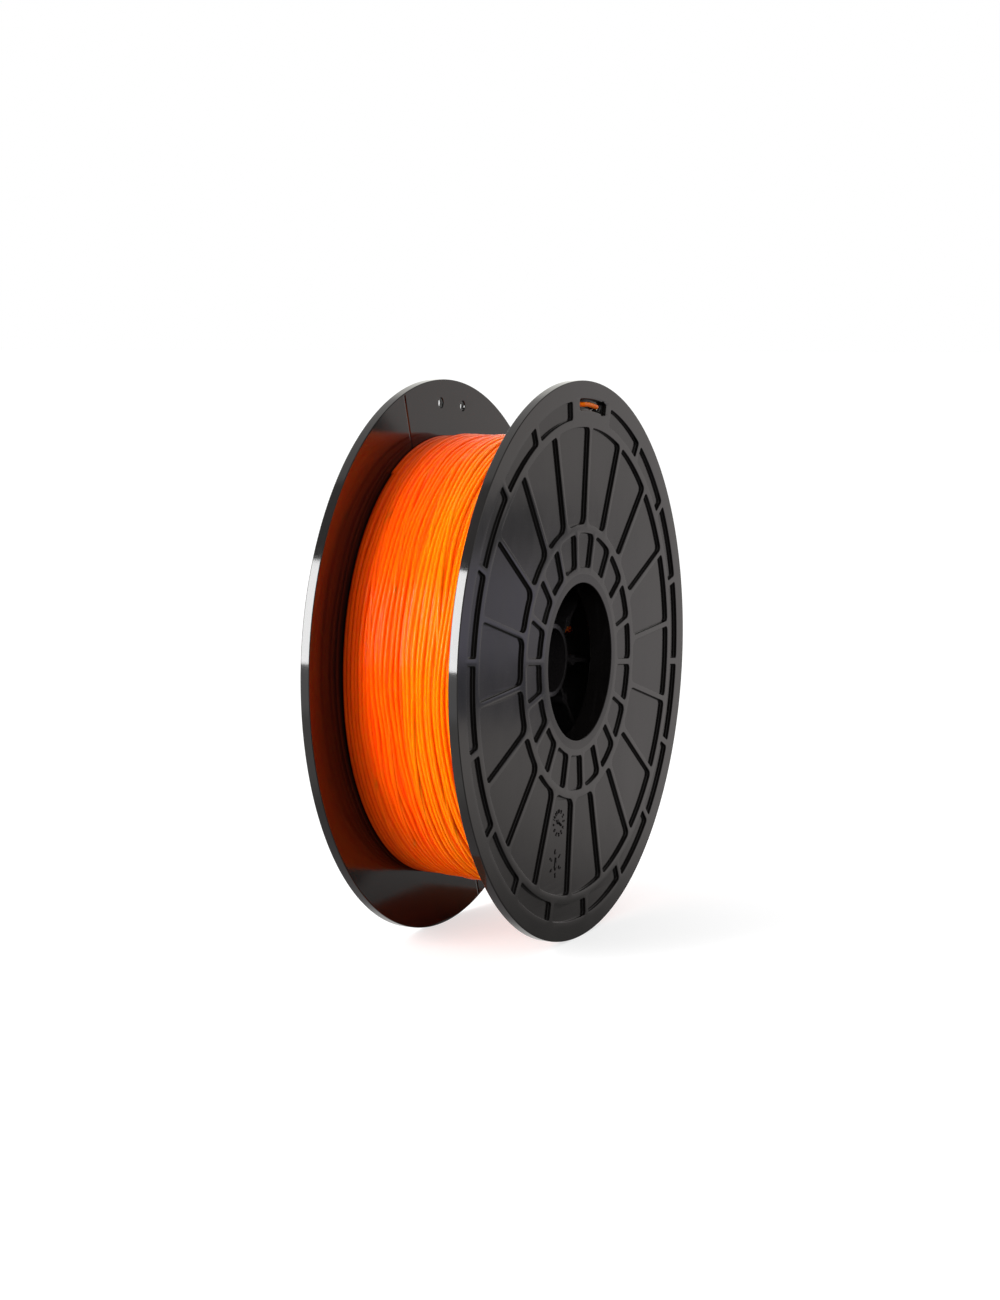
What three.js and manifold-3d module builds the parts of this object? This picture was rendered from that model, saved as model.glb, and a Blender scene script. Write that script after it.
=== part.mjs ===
// Filament spool: two ribbed flanges, a hub drum with a webbed spider inside it, and the
// wound filament, which the spool holds at both of its ends. Millimetres.
// In the finished part the spool's axis is Y, the front flange faces -Y and +Z is up.
// Each piece is made about its own Z axis with the front at +Z, and the last group turns them.
// Clock angles are in degrees, clockwise from the top as seen from in front of the spool.

import * as THREE from 'three';
import { mergeVertices } from 'three/addons/utils/BufferGeometryUtils.js';
import Module from 'manifold-3d';

const wasm = await Module();
wasm.setup();

// Whole spool
const FLANGE_R = 100;
const WIDTH = 58.3;
const FRONT_FACE = WIDTH / 2;
const GAP = 0.3; // clearance where pieces meet
const TURN_STEPS = 72; // facets round each turned piece

// Flanges
const THICKNESS = 3.4;
const RIM_ROUND = 0.3;
const POCKET_DEPTH = 1.1;
const PITCH = 20; // angle from one rib to the next
const LEFT_OUT = 6; // clock angle of the outer pocket that is solid, for the tuck groove
const POCKET_RINGS = [
  { inner: 86.5, outer: 93, firstRib: 16, rib: 2.4, innerCorner: 1.2, outerCorner: 1, tuck: true },
  { inner: 49, outer: 83.5, firstRib: 6, rib: 2, innerCorner: 3, outerCorner: 1.6, tuck: false },
  { inner: 33.7, outer: 46, firstRib: 16, rib: 2.1, innerCorner: 1.6, outerCorner: 1.8, tuck: false },
];

// Bore and the collar that lines it behind each flange
const BORE_R = 28.2;
const COLLAR_WALL = 2;
const COLLAR_DEPTH = 8.6; // from the flange's outer face
const BORE_CHAMFER = 0.6;

// Where a filament end is tucked in each flange: a groove in the outer face, with a hole through
// the flange near each end of the groove, and a round eye about the second hole
const TUCK = { at: 91.5, groove: 4.2, spacing: 11.2, before: 1.6, after: 1.9, hole: 2.1, eye: 2.6 };
const TUCK_DEPTH = 2;
const TUCK_CORNER = 0.9;
const FRONT_TUCK = 0.8; // clock angle of the front flange's first hole
const REAR_TUCK = -0.6;
const CUT_SIDES = 16;

// Hub drum, with the hole for the filament's inner end
const DRUM_R = 47.5;
const DRUM_WALL = 2;
const LIP_WALL = 1.2; // ring on a flange that locates the drum
const LIP_HEIGHT = 2;
const DRUM_HOLE = { radius: 1.8, angle: 82, height: 4.2 };

// Spider inside the drum
const RING_R = 13.1;
const RING_WALL = 1.6;
const RING_DEPTH = 10.9; // front edge, from the front face
const WEB_COUNT = 8;
const WEB_THICKNESS = 1.6;
const WEB_ANGLE = 6;
const WEB_DEPTH = 11.6;
const POST_R = 2; // round post where each web is thickened
const POST_AT = 20;

// Filament
const FILAMENT_R = 0.875;
const FILAMENT_SIDES = 8;
// The winding's outer radius from the front flange to the rear one, at even steps
const WINDING_RADII = [80.2, 80.2, 80, 79.6, 80.4, 80.4, 79.2, 78.4, 77];
const WINDING_STEPS = 16;

const PLASTIC = { color: 0x2f2d2e, roughness: 0.38, metalness: 0 };
const ORANGE = { color: 0xff6a08, roughness: 0.32, metalness: 0 };

const INNER_FACE = FRONT_FACE - THICKNESS; // of the front flange; the rear one's is opposite

const toRadians = THREE.MathUtils.degToRad;

// A point at a radius and clock angle
function clockPoint(radius, angle, height) {
  const turn = toRadians(angle);
  return new THREE.Vector3(radius * Math.sin(turn), radius * Math.cos(turn), height);
}

function toSolid(geometry) {
  const bare = geometry.clone();
  bare.deleteAttribute('normal');
  bare.deleteAttribute('uv');
  const merged = mergeVertices(bare, 1e-4);
  const vertProperties = Float32Array.from(merged.attributes.position.array);
  const triVerts = Uint32Array.from(merged.index.array);
  return new wasm.Manifold(new wasm.Mesh({ numProp: 3, vertProperties, triVerts }));
}

function toGeometry(solid) {
  const mesh = solid.getMesh();
  const geometry = new THREE.BufferGeometry();
  geometry.setAttribute('position', new THREE.BufferAttribute(mesh.vertProperties, 3));
  geometry.setIndex(new THREE.BufferAttribute(mesh.triVerts, 1));
  geometry.computeVertexNormals();
  return geometry;
}

function joinAll(solids) {
  return solids.reduce((whole, solid) => whole.add(solid));
}

// A turned ring about Z; its [radius, height] outline runs up the outside and closes on itself
function turned(outline) {
  const points = outline.map(([radius, height]) => new THREE.Vector2(radius, height));
  points.push(points[0].clone());
  const geometry = new THREE.LatheGeometry(points, TURN_STEPS);
  geometry.rotateX(Math.PI / 2);
  return geometry;
}

// A plate from z = bottom to z = top
function plate(shape, bottom, top) {
  const options = { depth: top - bottom, bevelEnabled: false, curveSegments: 1 };
  const geometry = new THREE.ExtrudeGeometry(shape, options);
  geometry.translate(0, 0, bottom);
  return geometry;
}

// Outline of a pocket centred on +X, between two parallel-sided ribs, with rounded corners
function pocketShape({ inner, outer, span, rib, innerCorner, outerCorner }) {
  const half = toRadians(span) / 2;
  const square = Math.PI / 2;
  const outerTurn = half - Math.asin((rib / 2 + outerCorner) / (outer - outerCorner));
  const innerTurn = half - Math.asin((rib / 2 + innerCorner) / (inner + innerCorner));
  const outerX = (outer - outerCorner) * Math.cos(outerTurn);
  const outerY = (outer - outerCorner) * Math.sin(outerTurn);
  const innerX = (inner + innerCorner) * Math.cos(innerTurn);
  const innerY = (inner + innerCorner) * Math.sin(innerTurn);
  const shape = new THREE.Shape();
  shape.absarc(0, 0, outer, -outerTurn, outerTurn, false);
  shape.absarc(outerX, outerY, outerCorner, outerTurn, half + square, false);
  shape.absarc(innerX, innerY, innerCorner, half + square, innerTurn + Math.PI, false);
  shape.absarc(0, 0, inner, innerTurn, -innerTurn, true);
  shape.absarc(innerX, -innerY, innerCorner, Math.PI - innerTurn, 3 * square - half, false);
  shape.absarc(outerX, -outerY, outerCorner, -half - square, -outerTurn, false);
  return shape;
}

// A cutter through z = bottom to z = top, its outline turned from +X to a clock angle
function cutterAt(shape, angle, bottom, top) {
  const geometry = plate(shape, bottom, top);
  geometry.rotateZ(toRadians(90 - angle));
  return toSolid(geometry);
}

function roundCutter(radius, at, angle, bottom, top) {
  const geometry = new THREE.CylinderGeometry(radius, radius, top - bottom, CUT_SIDES);
  geometry.rotateX(Math.PI / 2);
  const centre = clockPoint(at, angle, (bottom + top) / 2);
  geometry.translate(centre.x, centre.y, centre.z);
  return toSolid(geometry);
}

// The disc, collar and locating lip, with the outer face at z = 0 and the winding below it
function flangeBody() {
  const inside = -THICKNESS;
  const collarOuter = BORE_R + COLLAR_WALL;
  const lipOuter = DRUM_R - DRUM_WALL - GAP;
  const lipInner = lipOuter - LIP_WALL;
  const rimCorner = RIM_ROUND * (1 - Math.SQRT1_2);
  return toSolid(turned([
    [BORE_R, -COLLAR_DEPTH],
    [collarOuter, -COLLAR_DEPTH],
    [collarOuter, inside],
    [lipInner, inside],
    [lipInner, inside - LIP_HEIGHT],
    [lipOuter, inside - LIP_HEIGHT],
    [lipOuter, inside],
    [FLANGE_R - RIM_ROUND, inside],
    [FLANGE_R - rimCorner, inside + rimCorner],
    [FLANGE_R, inside + RIM_ROUND],
    [FLANGE_R, -RIM_ROUND],
    [FLANGE_R - rimCorner, -rimCorner],
    [FLANGE_R - RIM_ROUND, 0],
    [BORE_R + BORE_CHAMFER, 0],
    [BORE_R, -BORE_CHAMFER],
  ]));
}

// The pockets of every ring; side is 1 on the front flange and -1 on the mirrored rear one
function pocketCutters(side) {
  const cutters = [];
  for (const ring of POCKET_RINGS) {
    const shape = pocketShape({ ...ring, span: PITCH });
    for (let start = ring.firstRib; start < ring.firstRib + 360; start += PITCH) {
      const middle = (start + PITCH / 2) % 360;
      if (!(ring.tuck && middle === LEFT_OUT)) {
        cutters.push(cutterAt(shape, side * middle, -POCKET_DEPTH, 1));
      }
    }
  }
  return cutters;
}

// The tuck groove and its two holes, the first of them at a clock angle
function tuckCutters(side, first) {
  const through = -THICKNESS - 1;
  const second = first + TUCK.spacing;
  const shape = pocketShape({
    inner: TUCK.at - TUCK.groove / 2,
    outer: TUCK.at + TUCK.groove / 2,
    span: TUCK.before + TUCK.spacing + TUCK.after,
    rib: 0,
    innerCorner: TUCK_CORNER,
    outerCorner: TUCK_CORNER,
  });
  const middle = (first - TUCK.before + second + TUCK.after) / 2;
  return [
    cutterAt(shape, side * middle, -TUCK_DEPTH, 1),
    roundCutter(TUCK.eye, TUCK.at, side * second, -TUCK_DEPTH, 1),
    roundCutter(TUCK.hole, TUCK.at, side * first, through, 1),
    roundCutter(TUCK.hole, TUCK.at, side * second, through, 1),
  ];
}

// A flange with its outer face at z = 0; side is 1 on the front flange and -1 on the rear one
function flange(side, tuck) {
  const cutters = [...pocketCutters(side), ...tuckCutters(side, tuck)];
  return toGeometry(flangeBody().subtract(joinAll(cutters)));
}

function hubDrum() {
  const inside = DRUM_R - DRUM_WALL;
  const body = toSolid(turned([
    [inside, GAP - INNER_FACE],
    [DRUM_R, GAP - INNER_FACE],
    [DRUM_R, INNER_FACE - GAP],
    [inside, INNER_FACE - GAP],
  ]));
  const drill = new THREE.CylinderGeometry(DRUM_HOLE.radius, DRUM_HOLE.radius, 10, CUT_SIDES);
  drill.rotateZ(toRadians(-DRUM_HOLE.angle));
  const centre = clockPoint(DRUM_R, DRUM_HOLE.angle, DRUM_HOLE.height);
  drill.translate(centre.x, centre.y, centre.z);
  return toGeometry(body.subtract(toSolid(drill)));
}

// A thin ring on the axis, with webs out to the drum and a round post on each web
function hubSpider() {
  const ringEdge = FRONT_FACE - RING_DEPTH;
  const webEdge = FRONT_FACE - WEB_DEPTH;
  const webInner = RING_R - RING_WALL / 2;
  const webOuter = DRUM_R - DRUM_WALL - GAP;
  const solids = [toSolid(turned([
    [RING_R - RING_WALL, -ringEdge],
    [RING_R, -ringEdge],
    [RING_R, ringEdge],
    [RING_R - RING_WALL, ringEdge],
  ]))];
  for (let index = 0; index < WEB_COUNT; index += 1) {
    const angle = WEB_ANGLE + (index * 360) / WEB_COUNT;
    const web = new THREE.BoxGeometry(webOuter - webInner, WEB_THICKNESS, 2 * webEdge);
    web.translate((webOuter + webInner) / 2, 0, 0);
    web.rotateZ(toRadians(90 - angle));
    solids.push(toSolid(web));
    solids.push(roundCutter(POST_R, POST_AT, angle, -webEdge, webEdge));
  }
  return toGeometry(joinAll(solids));
}

// The wound turns as one closed ring
function filamentWinding() {
  const front = INNER_FACE - GAP;
  const rear = GAP - INNER_FACE;
  const last = WINDING_RADII.length - 1;
  const knots = WINDING_RADII.map((radius, index) => {
    return new THREE.Vector2(radius, THREE.MathUtils.lerp(front, rear, index / last));
  });
  const outside = new THREE.SplineCurve(knots.reverse()).getPoints(WINDING_STEPS);
  const outline = [[DRUM_R + GAP, rear], ...outside.map((knot) => [knot.x, knot.y])];
  return turned([...outline, [DRUM_R + GAP, front]]);
}

// A round filament through points given as [radius, clock angle, height]
function filamentAlong(route, steps) {
  const points = route.map(([radius, angle, height]) => clockPoint(radius, angle, height));
  const section = new THREE.Shape();
  section.absarc(0, 0, FILAMENT_R, 0, 2 * Math.PI, false);
  return new THREE.ExtrudeGeometry(section, {
    curveSegments: FILAMENT_SIDES / 2,
    steps,
    extrudePath: new THREE.CatmullRomCurve3(points),
  });
}

// The outer end: straight off the top turn beside the front flange, out through the first tuck
// hole, and along the groove to the cut end over the second hole
function filamentTail() {
  const inside = INNER_FACE - GAP - FILAMENT_R - 0.1;
  const groove = FRONT_FACE - FILAMENT_R - 0.05;
  return filamentAlong([
    [81.8, -16.4, inside],
    [84.2, -11, inside],
    [87.6, -5.8, inside],
    [90.2, -2.4, inside],
    [91.1, -0.5, inside + 0.1],
    [91.5, 0.35, inside + 1],
    [91.5, 1.15, inside + 2.7],
    [91.5, 2.2, groove - 0.1],
    [91.6, 3.6, groove],
    [91.6, 7.2, groove],
    [91.5, 11.2, groove],
  ], 30);
}

// The inner end: through the drum's hole and bent over inside the hub
function filamentInnerEnd() {
  const height = DRUM_HOLE.height;
  return filamentAlong([
    [DRUM_R, 82, height],
    [45.4, 82, height],
    [43.3, 82.8, height - 0.6],
    [42.6, 84.6, height - 2],
    [42.8, 86.6, height - 3.6],
  ], 10);
}

function piece(name, geometry, finish) {
  const mesh = new THREE.Mesh(geometry, new THREE.MeshStandardMaterial(finish));
  mesh.name = name;
  return mesh;
}

const front = piece('front_flange', flange(1, FRONT_TUCK), PLASTIC);
front.position.z = FRONT_FACE;

const rear = piece('rear_flange', flange(-1, REAR_TUCK), PLASTIC);
rear.position.z = -FRONT_FACE;
rear.rotation.y = Math.PI;

const spool = new THREE.Group();
spool.add(
  front,
  rear,
  piece('hub_drum', hubDrum(), PLASTIC),
  piece('hub_spider', hubSpider(), PLASTIC),
  piece('filament_winding', filamentWinding(), ORANGE),
  piece('filament_tail', filamentTail(), ORANGE),
  piece('filament_inner_end', filamentInnerEnd(), ORANGE),
);
spool.rotation.x = Math.PI / 2;

export default spool;
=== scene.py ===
"""Filament spool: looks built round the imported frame. Lengths are in millimetres until a piece is made."""
import math

import bmesh
import bpy
import numpy as np
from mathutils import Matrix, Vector
from mathutils.geometry import tessellate_polygon


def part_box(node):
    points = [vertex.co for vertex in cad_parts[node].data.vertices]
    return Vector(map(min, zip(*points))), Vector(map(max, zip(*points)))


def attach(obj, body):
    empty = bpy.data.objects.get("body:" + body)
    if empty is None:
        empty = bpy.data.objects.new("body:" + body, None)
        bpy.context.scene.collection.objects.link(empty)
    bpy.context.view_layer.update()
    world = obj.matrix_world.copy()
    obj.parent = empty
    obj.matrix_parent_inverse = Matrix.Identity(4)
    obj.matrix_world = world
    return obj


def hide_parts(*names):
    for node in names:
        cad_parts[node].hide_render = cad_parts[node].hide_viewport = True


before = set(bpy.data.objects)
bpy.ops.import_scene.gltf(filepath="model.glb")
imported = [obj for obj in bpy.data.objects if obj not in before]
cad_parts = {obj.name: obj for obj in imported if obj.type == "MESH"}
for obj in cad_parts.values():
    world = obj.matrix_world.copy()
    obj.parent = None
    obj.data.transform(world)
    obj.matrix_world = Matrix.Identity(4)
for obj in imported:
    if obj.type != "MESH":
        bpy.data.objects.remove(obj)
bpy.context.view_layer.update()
MM = 0.001

# ---------------------------------------- sizes, from the frame
FRONT_LOW, FRONT_HIGH = (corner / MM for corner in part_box("front_flange"))
REAR_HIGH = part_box("rear_flange")[1] / MM
DRUM_LOW, DRUM_HIGH = (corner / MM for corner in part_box("hub_drum"))
SPIDER_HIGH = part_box("hub_spider")[1] / MM

RIM_R = FRONT_HIGH.x
FRONT_Y = FRONT_LOW.y  # outer face of the front flange
REAR_Y = REAR_HIGH.y  # outer face of the rear flange
GAP = 0.3  # clearance between a flange and what it carries
FRONT_THICKNESS = DRUM_LOW.y - GAP - FRONT_Y
REAR_THICKNESS = REAR_Y - DRUM_HIGH.y - GAP
FRONT_INNER_Y = FRONT_Y + FRONT_THICKNESS
REAR_INNER_Y = REAR_Y - REAR_THICKNESS
COLLAR_DEPTH = FRONT_HIGH.y - FRONT_Y
DRUM_R = DRUM_HIGH.x
DRUM_WALL = 2.0
BORE_R = 28.2
COLLAR_WALL = 2.0
FILAMENT_R = 0.875

# Ribbed face of a flange: rings of pockets, in radii and clock angles (clockwise from the top,
# as seen from in front of the spool)
PITCH = 20
POCKET_DEPTH = 1.1
TUCK_DEPTH = 1.8
RINGS = [
    dict(inner=86.5, outer=93.0, first=16, rib=2.4, inner_corner=1.2, outer_corner=1.0, bounds=(84.9, 95.0)),
    dict(inner=49.0, outer=83.5, first=6, rib=2.0, inner_corner=3.0, outer_corner=1.6, bounds=(47.5, 84.9)),
    dict(inner=33.7, outer=46.0, first=16, rib=2.1, inner_corner=1.6, outer_corner=1.8, bounds=(31.4, 47.5)),
]
TUCK_CELL = 6  # clock angle of the outer cell that has a tuck groove instead of a pocket
CELL_STEPS = 20  # steps of the mesh across one cell
CORNER_STEPS = 6
SIDE_STEPS = 12
TUCK_STEPS = 48
HOLE_SIDES = 32
RIM_ROUND = 0.3
EDGE_ROUND = 0.16
FLOOR_ROUND = 0.16
DRAFT = 0.04
TUCK_LIP = 0.2  # rounding of the tuck groove's and its holes' edges
TUCK_FOOT = 0.12  # rounding at the foot of the groove's wall
# Groove in a flange's outer face that a filament end is tucked into, with a hole at each end
TUCK = dict(at=91.5, half=2.1, spacing=11.2, before=1.6, after=1.9, corner=0.9, eye=2.6, hole=1.9)
# For each flange: clock angle of the first hole, how far it is lengthened along the groove, and the
# second hole's share of the full size
FRONT_TUCK = (0.8, 1.15, 0.84)
REAR_TUCK = (-0.6, 1.0, 1.0)
# Fine parting grooves in a flange's inner face, by clock angle, each in the middle of a mesh step
GROOVE_ANGLES = (-17.5, 162.5)
GROOVE_WIDTH = 0.7
GROOVE_DEPTH = 0.6
# Collar about the bore, and the lip that holds the drum
COLLAR_LEAD = 0.25
COLLAR_FOOT = 0.3
LIP_WALL = 1.2
LIP_LENGTH = 2
LIP_ROUND = 0.2
INNER_FACE_R = DRUM_R + 1  # where the flat inner face begins
# Width of the flat beside the rim's rounding, on the outer and the inner face
OUTER_RIM_FLAT = 0.3
INNER_RIM_FLAT = 0.2
# Places of a flange's materials in its list
RIBBED, POLISHED, FLOORS = 0, 1, 2


# ---------------------------------------- mesh helpers
def clock(radius, angle):
    """x and z of a point at a radius and a clock angle in degrees."""
    turn = np.radians(angle)
    return np.stack([radius * np.sin(turn), radius * np.cos(turn)], -1)


def lifted(plane, y):
    """Points of (x, z) as (x, y, z), with y one number or one for each point."""
    plane = np.asarray(plane, float)
    return np.stack([plane[..., 0], np.broadcast_to(y, plane.shape[:-1]), plane[..., 1]], -1)


def turned(outline, angle):
    """Points of (x, z) turned about the spool's axis, from +X towards +Z, by an angle in degrees."""
    turn = math.radians(angle)
    c, s = math.cos(turn), math.sin(turn)
    return outline @ np.array([[c, s], [-s, c]])


class Skin:
    """Faces of one piece, gathered loop by loop and welded at the end."""

    def __init__(self):
        self.points = []
        self.faces = []
        self.slots = []
        self.slot = 0

    def add(self, loop):
        start = len(self.points)
        self.points.extend(np.asarray(loop, float).tolist())
        return np.arange(start, len(self.points))

    def face(self, corners):
        self.faces.append([int(corner) for corner in corners])
        self.slots.append(self.slot)

    def bridge(self, one, two):
        count = len(one)
        for k in range(count):
            nxt = (k + 1) % count
            self.face((one[k], one[nxt], two[nxt], two[k]))

    def loops(self, stack):
        """Joins a list of closed loops of points, each to the next."""
        made = [self.add(loop) for loop in stack]
        for one, two in zip(made, made[1:]):
            self.bridge(one, two)

    def fill(self, loop, holes=()):
        """Fills a flat loop, leaving its holes open. Every loop is an array of points."""
        rings = [np.asarray(loop, float)] + [np.asarray(hole, float) for hole in holes]
        flat = [[Vector(point) for point in ring] for ring in rings]
        index = np.concatenate([self.add(ring) for ring in rings])
        for triangle in tessellate_polygon(flat):
            self.face(index[list(triangle)])

    def build(self, name, materials, weld=0.002):
        mesh = bpy.data.meshes.new(name)
        mesh.from_pydata([Vector(point) * MM for point in self.points], [], self.faces)
        mesh.polygons.foreach_set("material_index", self.slots)
        work = bmesh.new()
        work.from_mesh(mesh)
        bmesh.ops.remove_doubles(work, verts=work.verts, dist=weld * MM)
        bmesh.ops.dissolve_degenerate(work, dist=1e-4 * MM, edges=work.edges)
        bmesh.ops.recalc_face_normals(work, faces=work.faces)
        work.to_mesh(mesh)
        work.free()
        return add_piece(name, mesh, materials)


def add_piece(name, mesh, materials):
    mesh.shade_smooth()
    for material in materials:
        mesh.materials.append(material)
    piece = bpy.data.objects.new(name, mesh)
    bpy.context.scene.collection.objects.link(piece)
    return piece


def crisp(piece):
    """Keeps flat faces flat in shading, with the roundings carrying the turn."""
    modifier = piece.modifiers.new("crisp", "WEIGHTED_NORMAL")
    modifier.keep_sharp = True
    modifier.weight = 60
    return piece


def quarter(steps):
    return [math.pi / 2 * k / steps for k in range(steps + 1)]


# ---------------------------------------- flanges
def arc(centre, radius, start, end, steps, last=False):
    angles = np.linspace(start, end, steps + 1)
    if not last:
        angles = angles[:-1]
    return np.stack([centre[0] + radius * np.cos(angles), centre[1] + radius * np.sin(angles)], -1)


def pocket_outline(ring, grow):
    """A pocket's outline about +X, moved outward by grow, as (along, across) points."""
    half = math.radians(PITCH) / 2
    square = math.pi / 2
    inner = ring["inner"] - grow
    outer = ring["outer"] + grow
    side = ring["rib"] / 2 - grow
    big = ring["outer_corner"] + grow
    small = ring["inner_corner"] + grow
    outer_turn = half - math.asin((side + big) / (outer - big))
    inner_turn = half - math.asin((side + small) / (inner + small))
    upper = ((outer - big) * math.cos(outer_turn), (outer - big) * math.sin(outer_turn))
    lower = ((inner + small) * math.cos(inner_turn), (inner + small) * math.sin(inner_turn))
    span = CELL_STEPS - CORNER_STEPS
    first_side = arc(upper, big, outer_turn, half + square, CORNER_STEPS, last=True)
    second_side = arc(lower, small, half + square, inner_turn + math.pi, CORNER_STEPS, last=True)
    ends = np.linspace(first_side[-1], second_side[0], SIDE_STEPS + 1)[1:-1]
    upper_half = np.concatenate([first_side, ends, second_side])
    lower_half = upper_half[::-1] * [1, -1]
    return np.concatenate([
        arc((0, 0), outer, -outer_turn, outer_turn, span),
        upper_half[:-1],
        arc((0, 0), inner, inner_turn, -inner_turn, span),
        lower_half[:-1],
    ])


def cell_outline(ring):
    """The boundary of a pocket's cell, with one point for each point of the pocket's outline."""
    half = math.radians(PITCH) / 2
    low, high = ring["bounds"]
    shift = CORNER_STEPS // 2
    across = CELL_STEPS
    down = SIDE_STEPS + CORNER_STEPS
    top = arc((0, 0), high, -half, half, across)
    side = np.linspace(high, low, down + 1)[:-1, None] * [math.cos(half), math.sin(half)]
    bottom = arc((0, 0), low, half, -half, across)
    back = np.linspace(low, high, down + 1)[:-1, None] * [math.cos(half), -math.sin(half)]
    return np.roll(np.concatenate([top, side, bottom, back]), -shift, axis=0)


class Flange:
    """Builds a flange; depth runs from its outer face towards the winding."""

    def __init__(self, outer_y, thickness, inward):
        self.outer_y = outer_y
        self.thickness = thickness
        self.inward = inward
        self.skin = Skin()

    def at(self, plane, depth):
        """Points of (x, z) at a depth, as (x, y, z)."""
        return lifted(plane, self.outer_y + self.inward * depth)

    def circle(self, radius, depth):
        return self.at(clock(radius, np.arange(0, 360, PITCH / CELL_STEPS)), depth)

    def lathe(self, outline):
        self.skin.loops([self.circle(radius, depth) for radius, depth in outline])

    def pocket(self, ring, middle):
        stack = [self.at(turned(cell_outline(ring), 90 - middle), 0)]
        for turn in quarter(3):
            grow = EDGE_ROUND * (1 - math.sin(turn))
            depth = EDGE_ROUND * (1 - math.cos(turn))
            stack.append(self.at(turned(pocket_outline(ring, grow), 90 - middle), depth))
        for turn in quarter(3):
            grow = -DRAFT - FLOOR_ROUND * (1 - math.cos(turn))
            depth = POCKET_DEPTH - FLOOR_ROUND * (1 - math.sin(turn))
            stack.append(self.at(turned(pocket_outline(ring, grow), 90 - middle), depth))
        self.skin.loops(stack)
        self.skin.slot = FLOORS
        self.skin.fill(stack[-1])
        self.skin.slot = RIBBED

    def tuck_cell(self, ring, middle, first, stretch, second_size):
        """The cell with the tuck groove in its outer face and two holes in the groove's floor."""
        skin = self.skin
        cell = turned(cell_outline(ring), 90 - middle)
        holes = [hole_outline(first, stretch), hole_outline(first + TUCK["spacing"], 1, second_size)]
        stack = []
        for turn in quarter(3):
            outline = tuck_outline(first, TUCK_LIP * (1 - math.sin(turn)))
            stack.append(self.at(outline, TUCK_LIP * (1 - math.cos(turn))))
        for turn in quarter(2):
            outline = tuck_outline(first, -TUCK_FOOT * (1 - math.cos(turn)))
            stack.append(self.at(outline, TUCK_DEPTH - TUCK_FOOT * (1 - math.sin(turn))))
        skin.fill(self.at(cell, 0), [stack[0]])
        skin.loops(stack)
        skin.fill(stack[-1], [self.at(hole(0), TUCK_DEPTH) for hole in holes])
        far = np.hypot(*cell.T)
        on_arcs = np.isclose(far, ring["bounds"][0]) | np.isclose(far, ring["bounds"][1])
        mouths = [self.at(hole(TUCK_LIP), self.thickness) for hole in holes]
        skin.fill(self.at(cell[on_arcs], self.thickness), mouths)
        for hole in holes:
            stack = [self.at(hole(0), TUCK_DEPTH)]
            for turn in quarter(3):
                outline = hole(TUCK_LIP * (1 - math.cos(turn)))
                stack.append(self.at(outline, self.thickness - TUCK_LIP * (1 - math.sin(turn))))
            skin.loops(stack)

    def grooved_step(self, radii, angle):
        """One step of the inner face, out across all the radii, with a fine parting groove along it."""
        step = PITCH / CELL_STEPS
        start = math.floor(angle / step) * step
        low, high = radii[0], radii[-1]
        out = np.array([[r, start + step] for r in radii] + [[r, start] for r in radii[::-1]])
        # The groove runs to a point at both ends, and is at its deepest between its two middle places
        line = clock(np.array([low + 0.1, low + 1.2, high - 0.4, high - 0.05]), angle)
        turn = math.radians(angle)
        across = np.array([math.cos(turn), -math.sin(turn)]) * GROOVE_WIDTH / 2
        rim = np.array([line[0], *(line[1:3] - across), line[3], *(line[1:3] + across)[::-1]])
        self.skin.fill(self.at(clock(out[:, 0], out[:, 1]), self.thickness), [self.at(rim, self.thickness)])
        a, b, c, d, e, f = self.skin.add(self.at(rim, self.thickness))
        near, far = self.skin.add(self.at(line[1:3], self.thickness - GROOVE_DEPTH))
        walls = ((a, b, near), (b, c, far, near), (c, d, far), (d, e, far), (e, f, near, far), (f, a, near))
        for corners in walls:
            self.skin.face(corners)
        return start

    def band(self, low, high, depth, skip):
        """A flat ring of the face, one step at a time, leaving out the steps that start at skip."""
        step = PITCH / CELL_STEPS
        for start in np.arange(0, 360, step):
            if not any(abs((start - other + 180) % 360 - 180) < step / 2 for other in skip):
                turn = np.array([start, start + step])
                loop = np.concatenate([clock(low, turn), clock(high, turn[::-1])])
                self.skin.face(self.skin.add(self.at(loop, depth)))

    def outer_face(self, tuck):
        for ring in RINGS:
            for k in range(360 // PITCH):
                middle = (ring["first"] + PITCH / 2 + k * PITCH) % 360
                if ring is RINGS[0] and middle == TUCK_CELL:
                    self.tuck_cell(ring, middle, *tuck)
                else:
                    self.pocket(ring, middle)

    def collar(self):
        """The edge of the bore and the collar that lines it."""
        lead, foot = COLLAR_LEAD, COLLAR_FOOT
        outer = BORE_R + COLLAR_WALL
        mouth = [(BORE_R + lead * (1 - math.sin(t)), lead * (1 - math.cos(t))) for t in quarter(4)]
        self.skin.slot = FLOORS
        self.lathe([(RINGS[2]["bounds"][0], 0), *mouth])
        self.skin.slot = RIBBED
        self.lathe([
            (BORE_R, lead), (BORE_R, COLLAR_DEPTH - foot), (BORE_R + foot, COLLAR_DEPTH),
            (outer - foot, COLLAR_DEPTH), (outer, COLLAR_DEPTH - foot), (outer, self.thickness),
        ])

    def lip(self):
        """The inner face out from the collar, with the lip that holds the drum."""
        face = self.thickness
        outer = DRUM_R - DRUM_WALL - GAP
        inner = outer - LIP_WALL
        top = face + LIP_LENGTH
        self.lathe([
            (BORE_R + COLLAR_WALL, face), (inner, face), (inner, top - LIP_ROUND), (inner + LIP_ROUND, top),
            (outer - LIP_ROUND, top), (outer, top - LIP_ROUND), (outer, face), (INNER_FACE_R, face),
        ])

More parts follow.
